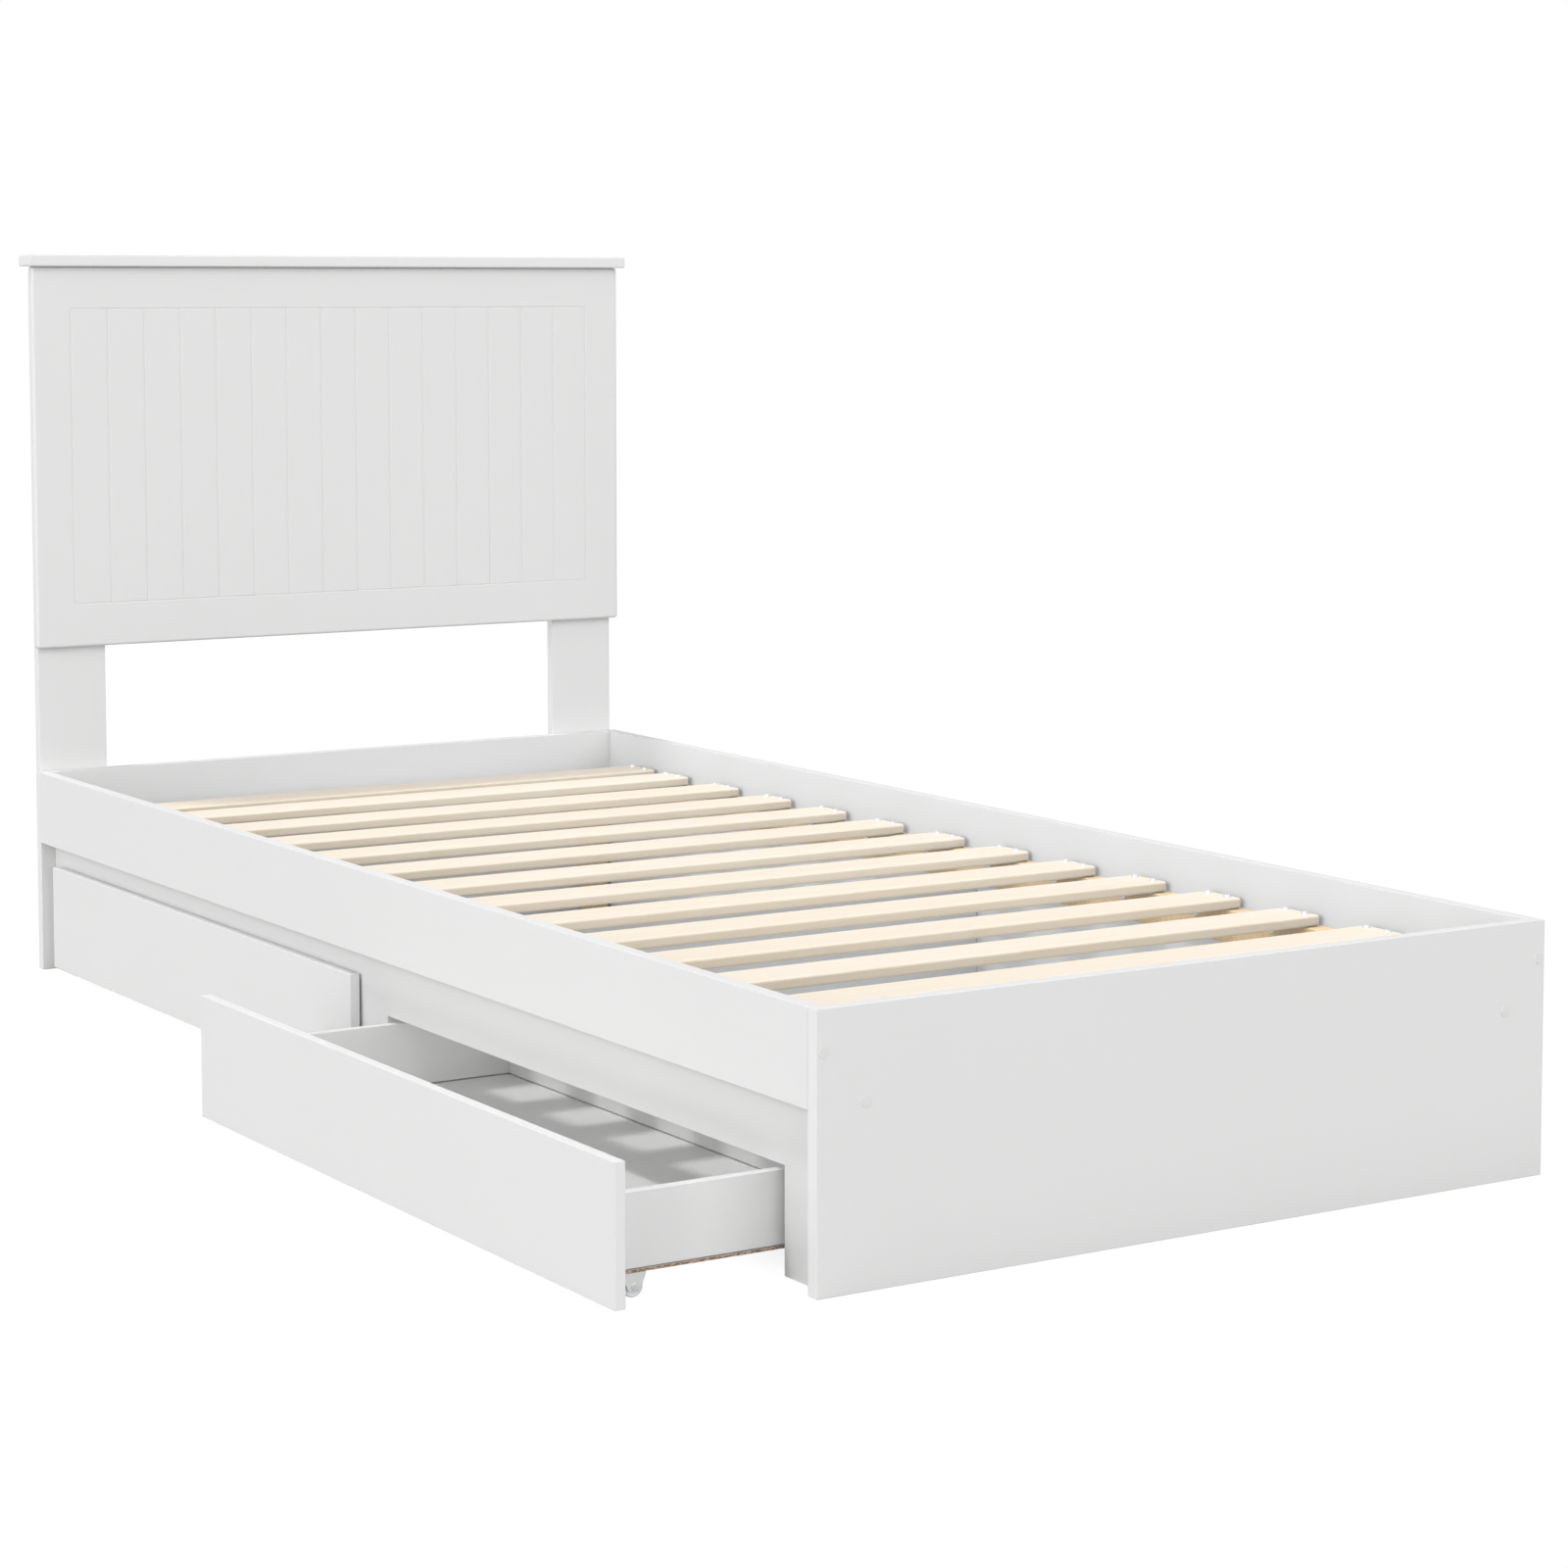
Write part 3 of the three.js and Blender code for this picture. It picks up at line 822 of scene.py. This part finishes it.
@dataclass
class DrawerBay:
    """The opening for one drawer in the panel on the drawer side."""

    foot: float
    head: float
    top: float

    @classmethod
    def around(cls, name: str, side_gap: float = 0.009, top_gap: float = 0.006) -> "DrawerBay":
        """Works the opening out from the drawer's box and its running gaps.

        Args:
            name: The drawer's name.
            side_gap: Gap at each side of the drawer box.
            top_gap: Gap above it.

        Returns:
            The opening.
        """
        low, _ = span_of(f"{name}_side_foot")
        _, high = span_of(f"{name}_side_head")
        return cls(low[1] - side_gap, high[1] + side_gap, high[2] + top_gap)


@dataclass
class SlattedBase:
    """The pine slats on their two battens, with their screws."""

    palette: Palette
    body: str = "bed_frame"
    slat_count: int = 14
    slat_edge: float = 0.0035
    batten_edge: float = 0.0015
    end_ease: float = 0.0006
    slat_screw_inset: float = 0.009
    slat_screw_reach: float = 0.018
    batten_screw_drop: float = 0.011
    batten_screw_lead: float = 0.030

    def build(self) -> None:
        """Makes the battens, the slats and both sets of screws."""
        for side in ("left", "right"):
            self._bar(f"slat_batten_{side}", Axis.Y, self.batten_edge, self.palette.batten)
        for number in range(1, self.slat_count + 1):
            self._bar(f"slat_{number:02d}", Axis.X, self.slat_edge, self.palette.slat)
        self._slat_screws()
        self._batten_screws()

    def _bar(self, node: str, along: Axis, edge: float, material: Material) -> None:
        """A planed bar: a rectangle with round edges carried along its length, its ends barely eased."""
        low, high = span_of(node)
        outline = rounded_rectangle(across(low, along), across(high, along), edge, 5)
        shell = eased_extrusion(outline, along, low[along], high[along], self.end_ease, 2)
        stand_for(make_piece(f"{node}_planed", [shell], material, self.body), node)

    def _spans(self) -> list[tuple[np.ndarray, np.ndarray]]:
        """The corners of each slat, from the foot end to the head end."""
        return [span_of(f"slat_{number:02d}") for number in range(1, self.slat_count + 1)]

    def _slat_screws(self) -> None:
        """Two screws down through each end of each slat, into the batten."""
        head = PanHead()
        shells = []
        for low, high in self._spans():
            middle = (low[1] + high[1]) / 2
            for x in (low[0] + self.slat_screw_inset, high[0] - self.slat_screw_inset):
                for y in (middle - self.slat_screw_reach, middle + self.slat_screw_reach):
                    shells.append(head.shell((x, y, high[2]), Axis.Z, 1))
        make_piece("slat_screws", shells, self.palette.zinc, self.body)

    def _batten_screws(self) -> None:
        """Screws through the battens into the rails, one just past each slat but the last."""
        head = PanHead(radius=0.0046, height=0.0026)
        shells = []
        for slat_low, slat_high in self._spans()[:-1]:
            y = (slat_low[1] + slat_high[1]) / 2 + self.batten_screw_lead
            for side, sign in (("left", 1), ("right", -1)):
                low, high = span_of(f"slat_batten_{side}")
                x = high[0] if sign > 0 else low[0]
                shells.append(head.shell((x, y, high[2] - self.batten_screw_drop), Axis.X, sign))
        make_piece("batten_screws", shells, self.palette.zinc, self.body)


@dataclass
class Headboard:
    """The grooved panel, its cap and the two legs behind it."""

    palette: Palette
    body: str = "bed_frame"
    edge: float = 0.004
    edge_steps: int = 4
    side_margin: float = 0.056
    top_margin: float = 0.059
    bottom_margin: float = 0.061
    groove_count: int = 16
    groove_half: float = 0.0015
    groove_depth: float = 0.0010
    cap_edge: float = 0.002
    leg_caps: tuple[float, ...] = (0.10, 0.22, 0.52, 0.72, 0.92)

    def build(self) -> None:
        """Makes the panel, the cap, the legs and the caps over the legs' screws."""
        self._panel()
        self._cap()
        joiner = Joiner(self.palette.board, self.body)
        for side in ("left", "right"):
            joiner.make(f"headboard_leg_{side}")
        self._leg_caps()

    def _relief(self, x: np.ndarray, z: np.ndarray, low: np.ndarray, high: np.ndarray) -> np.ndarray:
        """Depth of the panel's face below its plane.

        Each groove is a V: its depth falls evenly from groove_depth on its line to nothing at groove_half
        from it. Upright grooves stop at the two level ones, and the deeper of the two counts.

        Args:
            x: Places across the panel.
            z: Heights, of the same shape.
            low: The panel's lowest corner.
            high: Its highest corner.

        Returns:
            The depth at each place.
        """
        left, right = low[0] + self.side_margin, high[0] - self.side_margin
        bottom, top = low[2] + self.bottom_margin, high[2] - self.top_margin
        lines = np.linspace(left, right, self.groove_count)
        upright = np.clip(1 - np.abs(x[..., None] - lines).min(axis=-1) / self.groove_half, 0, 1)
        level = np.clip(1 - np.minimum(np.abs(z - bottom), np.abs(z - top)) / self.groove_half, 0, 1)
        in_height = (z > bottom - self.groove_half) & (z < top + self.groove_half)
        in_width = (x > left - self.groove_half) & (x < right + self.groove_half)
        return self.groove_depth * np.maximum(upright * in_height, level * in_width)

    def _panel(self) -> None:
        """The panel as a section carried up its height.

        The section runs along the face, with three points for each groove, round the edge and along the
        back. Towards the top and the bottom it is drawn in by a quarter circle.
        """
        low, high = span_of("headboard_panel")
        half = self.groove_half
        lines = np.linspace(low[0] + self.side_margin, high[0] - self.side_margin, self.groove_count)
        face_x = (lines[:, None] + np.array([-half, 0, half])).ravel()
        quarter = np.linspace(0, math.pi / 2, self.edge_steps + 1)
        bend_x = self.edge * np.sin(quarter)
        bend_y = self.edge * (1 - np.cos(quarter))
        inner = high[0] - self.edge
        # counterclockwise from above: the face, round the right edge, the back, round the left edge
        section_x = np.concatenate([face_x, inner + bend_x, (inner + bend_x)[::-1], face_x[::-1],
                                    -inner - bend_x, (-inner - bend_x)[::-1]])
        section_y = np.concatenate([np.full(len(face_x), low[1]), low[1] + bend_y, (high[1] - bend_y)[::-1],
                                    np.full(len(face_x), high[1]), high[1] - bend_y, (low[1] + bend_y)[::-1]])
        on_face = np.concatenate([np.ones(len(face_x)), np.zeros(len(section_x) - len(face_x))])

        bottom, top = low[2] + self.bottom_margin, high[2] - self.top_margin
        middle = np.concatenate([[bottom - half, bottom, bottom + half], [top - half, top, top + half]])
        rise = self.edge * (1 - np.cos(quarter[::-1]))
        heights = np.concatenate([low[2] + self.edge - self.edge * np.sin(quarter[::-1]), middle,
                                  high[2] - self.edge + self.edge * np.sin(quarter)])
        inset = np.concatenate([rise, np.zeros(len(middle)), rise[::-1]])

        x = section_x[None] * (1 - inset[:, None] / high[0])
        depth_middle = (low[1] + high[1]) / 2
        thickness_share = 1 - inset[:, None] / (high[1] - depth_middle)
        y = depth_middle + (section_y[None] - depth_middle) * thickness_share
        z = np.broadcast_to(heights[:, None], x.shape)
        y = y + self._relief(x, z, low, high) * on_face[None]
        shell = loft(np.stack([x, y, z], axis=-1), np.zeros(len(heights)))
        piece = make_piece("headboard_panel_grooved", [shell], self.palette.board, self.body)
        stand_for(piece, "headboard_panel")

    def _cap(self) -> None:
        """The cap: a board with soft edges all round."""
        Joiner(self.palette.board, self.body, self.cap_edge).make("headboard_cap")

    def _leg_caps(self) -> None:
        """Caps over the screws that go through the legs into the head end board and the panel."""
        cap = CoverCap()
        shells = []
        for side in ("left", "right"):
            low, high = span_of(f"headboard_leg_{side}")
            middle = (low[0] + high[0]) / 2
            shells += [cap.shell((middle, high[1], z), Axis.Y, 1) for z in self.leg_caps]
        make_piece("headboard_leg_caps", shells, self.palette.plastic, self.body)


@dataclass
class Drawer:
    """One under-bed drawer: front, sides, back, nailed-on bottom and four castors."""

    palette: Palette
    name: str
    bottom_slit: float = 0.0008
    brad_gap: float = 0.115
    brad_inset: float = 0.006
    brad: PanHead = field(
        default_factory=lambda: PanHead(radius=0.0016, height=0.0004, recess=0.0, rings=3, sides=10)
    )
    axle_radius: float = 0.0024
    axle_reach: float = 0.002
    hub_radius: float = 0.0045
    dish_slope: float = 0.0006
    dish_depth: float = 0.0012
    shoulder: float = 0.0016
    rivet: CoverCap = field(default_factory=lambda: CoverCap(0.0036, 0.0008, 0.0005))

    def build(self) -> None:
        """Makes the box, its brads and its castors."""
        Joiner(self.palette.board, self.name).make(f"{self.name}_front")
        joiner = Joiner(self.palette.board, self.name, slit=self.bottom_slit)
        for part in ("side_foot", "side_head", "back"):
            joiner.make(f"{self.name}_{part}")
        self._bottom()
        self._brads()
        for row in ("front", "rear"):
            for side in ("a", "b"):
                self._castor(row, side)

    def _bottom(self) -> None:
        """The hardboard bottom, whose edge shows under the sides."""
        node = f"{self.name}_bottom"
        sheet = Joiner(self.palette.hardboard, self.name, 0.0003).shell(node)
        piece = make_piece(f"{node}_sheet", [sheet], self.palette.hardboard, self.name)
        stand_for(piece, node)

    def _brads(self) -> None:
        """Nail heads under the bottom, spaced evenly along the two sides and the back."""
        low, high = span_of(f"{self.name}_bottom")
        xs = np.arange(low[0] + self.brad_gap / 2, high[0], self.brad_gap)
        ys = np.arange(low[1] + self.brad_gap / 2, high[1], self.brad_gap)
        places = [(x, y) for x in xs for y in (low[1] + self.brad_inset, high[1] - self.brad_inset)]
        places += [(high[0] - self.brad_inset, y) for y in ys]
        shells = [self.brad.shell((x, y, low[2]), Axis.Z, -1) for x, y in places]
        make_piece(f"{self.name}_brads", shells, self.palette.zinc, self.name)

    def _castor(self, row: str, side: str) -> None:
        """A wheel in its fork, with a rivet head on each cheek.

        The wheel's profile runs from one hub face out over a rounded shoulder to the tread and back.
        """
        fork = f"{self.name}_castor_fork_{row}_{side}"
        node = f"{self.name}_castor_wheel_{row}_{side}"
        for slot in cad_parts[fork].material_slots:
            slot.material = self.palette.plastic
        low, high = span_of(node)
        centre = (low + high) / 2
        tread = (high[0] - low[0]) / 2
        fork_low, fork_high = span_of(fork)
        reach = (high[1] - low[1]) / 2
        half = reach - self.axle_reach
        quarter = np.linspace(0, math.pi / 2, 4)
        shoulder_r = tread - self.shoulder * (1 - np.sin(quarter))
        shoulder_w = half - self.shoulder * (1 - np.cos(quarter))
        axle, hub = self.axle_radius, self.hub_radius
        dish = half - self.dish_depth
        side_r = np.array([axle, axle, hub, hub + self.dish_slope, tread - 2 * self.shoulder])
        side_w = np.array([reach, half, half, dish, dish])
        radii = np.concatenate([side_r, shoulder_r])
        widths = np.concatenate([side_w, shoulder_w])
        there_and_back = [np.concatenate([radii, radii[::-1]]), np.concatenate([widths, -widths[::-1]])]
        profile = np.stack(there_and_back, axis=-1)
        wheel = turning(profile, centre, Axis.Y, 40)
        body = f"{self.name}_wheel_{row}_{side}"
        stand_for(make_piece(f"{node}_turned", [wheel], self.palette.nylon, body), node)
        rivets = [self.rivet.shell((centre[0], fork_high[1], centre[2]), Axis.Y, 1),
                  self.rivet.shell((centre[0], fork_low[1], centre[2]), Axis.Y, -1)]
        make_piece(f"{fork}_rivets", rivets, self.palette.zinc, self.name)


# ------------------------------------------------
# Studio
# ------------------------------------------------


@dataclass(frozen=True)
class Sun:
    """A distant light: the way towards it, its strength, and how many degrees it spreads over."""

    name: str
    towards: tuple[float, float, float]
    power: float
    spread: float

    def hang(self) -> None:
        """Puts the light in the scene."""
        data = bpy.data.lights.new(self.name, "SUN")
        data.energy = self.power
        data.angle = math.radians(self.spread)
        sun = bpy.data.objects.new(self.name, data)
        x, y, z = np.array(self.towards) / np.linalg.norm(self.towards)
        sun.rotation_euler = (math.acos(z), 0.0, math.atan2(x, -y))
        bpy.context.collection.objects.link(sun)


@dataclass
class Studio:
    """The floor, the soft daylight and the camera."""

    camera_place: tuple[float, float, float] = (-2.3337, -3.9251, 0.9626)
    heading: float = -32.287
    tilt_down: float = 4.775
    lens: float = 84.74
    shift: tuple[float, float] = (-0.0036, -0.12)
    sky: float = 0.58
    suns: tuple[Sun, ...] = (
        Sun("key", towards=(-0.32, 0.20, 1.0), power=1.15, spread=7.0),
        Sun("side fill", towards=(-1.0, -0.15, 0.2), power=1.68, spread=50.0),
        Sun("front fill", towards=(0.1, -1.0, 0.25), power=1.50, spread=60.0),
    )
    floor_size: float = 60.0
    floor_shade: float = 0.30
    floor_rim: float = 0.12
    floor_tone: Colour = (0.40, 0.40, 0.40)
    floor_tone_beneath: Colour = (0.85, 0.86, 0.88)
    # painted glow: how strongly the floor beneath the bed emits light
    floor_glow_beneath: float = 0.18

    def build(self) -> None:
        """Sets up everything round the bed."""
        self._camera()
        self._sky()
        for sun in self.suns:
            sun.hang()
        self._floor()
        bpy.context.scene.view_settings.view_transform = "Standard"

    def _camera(self) -> None:
        """Looks across the foot end towards the headboard from the drawer side."""
        data = bpy.data.cameras.new("camera")
        data.lens = self.lens
        data.sensor_width = 36.0
        data.shift_x, data.shift_y = self.shift
        data.clip_end = 200.0
        camera = bpy.data.objects.new("camera", data)
        camera.location = self.camera_place
        camera.rotation_euler = (math.radians(90 - self.tilt_down), 0.0, math.radians(self.heading))
        bpy.context.collection.objects.link(camera)
        bpy.context.scene.camera = camera

    def _sky(self) -> None:
        """An even white sky: full white to look at, and dimmer as a light."""
        world = bpy.data.worlds.new("sky")
        world.use_nodes = True
        world.node_tree.nodes.clear()
        graph = Graph(world.node_tree)
        looked_at = graph.add("ShaderNodeLightPath").outputs["Is Camera Ray"]
        strength = graph.remap(looked_at, 0.0, 1.0, self.sky, 1.0)
        back = graph.add("ShaderNodeBackground", {"Color": rgba((1.0, 1.0, 1.0)), "Strength": strength})
        out = graph.add("ShaderNodeOutputWorld")
        world.node_tree.links.new(back.outputs[0], out.inputs["Surface"])
        bpy.context.scene.world = world

    def _floor(self) -> None:
        """A pale floor that returns light like paint, and shows its shadows only beneath the bed.

        Round the bed it is plain white to look at. The mask is 1 inside the bed's outline, and the shares
        of the paint and the glow are mixed by it. Beneath the bed the paint is paler and a painted glow is
        added, which lights the bed from below though the floor is no lamp.
        """
        half = self.floor_size / 2
        mesh = bpy.data.meshes.new("floor")
        corners = [(-half, -half, 0), (half, -half, 0), (half, half, 0), (-half, half, 0)]
        mesh.from_pydata(corners, [], [(0, 1, 2, 3)])
        floor = bpy.data.objects.new("floor", mesh)
        bpy.context.collection.objects.link(floor)
        material = bpy.data.materials.new("pale floor")
        material.use_nodes = True
        material.node_tree.nodes.clear()
        graph = Graph(material.node_tree)
        looked_at = graph.add("ShaderNodeLightPath").outputs["Is Camera Ray"]
        place = graph.add("ShaderNodeSeparateXYZ", {0: graph.add("ShaderNodeTexCoord").outputs["Object"]})
        high = span_of("side_rail_right")[1]
        within = [
            graph.remap(
                graph.math("ABSOLUTE", place.outputs[int(axis)]), high[axis], high[axis] - self.floor_rim
            )
            for axis in (Axis.X, Axis.Y)
        ]
        beneath = graph.math("MULTIPLY", *within)
        tone = graph.blend(beneath, rgba(self.floor_tone), rgba(self.floor_tone_beneath))
        paint = graph.add("ShaderNodeBsdfDiffuse", {"Color": tone}).outputs[0]
        glow = graph.add("ShaderNodeEmission", {"Color": rgba((1.0, 1.0, 1.0)), "Strength": 1.02}).outputs[0]
        # painted glow: the floor beneath the bed emits light that brightens the bed's underside
        beneath_glow_strength = graph.math("MULTIPLY", beneath, self.floor_glow_beneath)
        beneath_glow = graph.add("ShaderNodeEmission", {"Strength": beneath_glow_strength}).outputs[0]
        lit = graph.add("ShaderNodeAddShader", {0: paint, 1: beneath_glow}).outputs[0]
        shade = graph.math("MULTIPLY", beneath, self.floor_shade)
        share = graph.math("MULTIPLY", looked_at, graph.math("SUBTRACT", 1.0, shade))
        mix = graph.add("ShaderNodeMixShader", {0: share, 1: lit, 2: glow}).outputs[0]
        out = graph.add("ShaderNodeOutputMaterial")
        material.node_tree.links.new(mix, out.inputs["Surface"])
        mesh.materials.append(material)


def main() -> None:
    """Builds the bed piece by piece."""
    logging.basicConfig(level=logging.INFO, format="%(name)s: %(message)s")
    Studio().build()
    palette = Palette()
    BoxFrame(palette).build()
    SlattedBase(palette).build()
    Headboard(palette).build()
    for name in ("foot_drawer", "head_drawer"):
        Drawer(palette, name).build()


if __name__ == "__main__":
    main()
